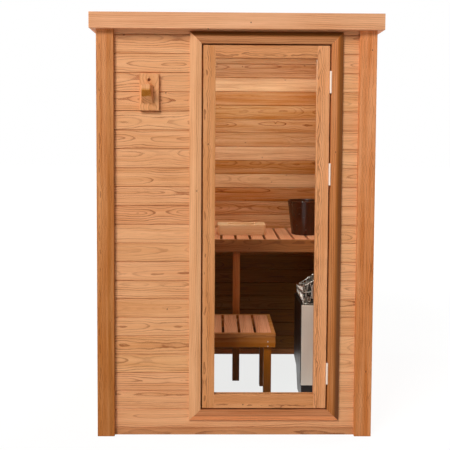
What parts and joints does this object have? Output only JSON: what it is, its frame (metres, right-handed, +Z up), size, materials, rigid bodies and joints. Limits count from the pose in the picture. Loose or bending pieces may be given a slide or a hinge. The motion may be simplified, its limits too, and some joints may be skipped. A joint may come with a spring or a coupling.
{
  "type": "indoor sauna cabin",
  "caption": "Cedar indoor sauna cabin with corner posts, board walls, flat roof with fascia, a hinged glass door, two slatted benches and a stone heater.",
  "frame": {"origin": "on the floor, under the middle of the whole cabin's box", "axes": "+Z up, the door faces -Y, +X to the right when facing the door"},
  "size_m": [1.346, 1.377, 1.975],
  "materials": {
    "cedar_wall": "planed, oiled, satin",
    "cedar_post": "planed, oiled, satin",
    "cedar_sill": "planed, matt",
    "cedar_roof": "planed, matt",
    "cedar_fascia": "planed, oiled, satin",
    "cedar_casing": "planed, oiled, satin",
    "cedar_frame": "planed, matt",
    "cedar_door": "planed, oiled, satin",
    "cedar_hook": "planed, oiled, satin",
    "cedar_bench": "sanded, matt",
    "glass": "clear float",
    "hinge_steel": "satin",
    "heater_cover": "brushed",
    "heater_black": "semi-gloss black",
    "guard_wire": "polished",
    "stone": "rough",
    "basin_wood": "sanded, matt",
    "bucket": "dark stained, glossy"
  },
  "bodies": {
    "root": {"post_front_left": "cedar_post", "post_front_right": "cedar_post", "post_back_left": "cedar_post", "post_back_right": "cedar_post", "base_sills": "cedar_sill", "left_wall": "cedar_wall", "right_wall": "cedar_wall", "back_wall": "cedar_wall", "front_wall_left": "cedar_wall", "front_wall_right": "cedar_wall", "front_wall_header": "cedar_wall", "front_wall_under_door": "cedar_wall", "roof_panel": "cedar_roof", "fascia_front": "cedar_fascia", "fascia_back": "cedar_fascia", "fascia_left": "cedar_fascia", "fascia_right": "cedar_fascia", "door_jamb_left": "cedar_frame", "door_jamb_right": "cedar_frame", "door_head": "cedar_frame", "door_threshold": "cedar_frame", "casing_left": "cedar_casing", "casing_right": "cedar_casing", "casing_top": "cedar_casing", "casing_bottom": "cedar_casing", "hinges_on_frame": "hinge_steel", "robe_hook": "cedar_hook", "upper_bench_slats": "cedar_bench", "upper_bench_apron": "cedar_bench", "upper_bench_ledgers": "cedar_bench", "upper_bench_leg": "cedar_bench", "lower_bench_slats": "cedar_bench", "lower_bench_frame": "cedar_bench", "lower_bench_legs": "cedar_bench", "heater_foot": "heater_black", "heater_body": "heater_black", "heater_cover": "heater_cover", "heater_guard": "guard_wire", "heater_stones": "stone", "wooden_basin": "basin_wood", "water_bucket": "bucket"},
    "door": {"door_stile_left": "cedar_door", "door_stile_right": "cedar_door", "door_top_rail": "cedar_door", "door_bottom_rail": "cedar_door", "door_glass": "glass", "hinges_on_door": "hinge_steel"}
  },
  "joints": [
    {"name": "door_hinge", "type": "hinge", "parent": "root", "child": "door", "pos_m": [0.4315, -0.6345, 0.9845], "axis": [0, 0, 1], "range_deg": [0, 110]}
  ]
}
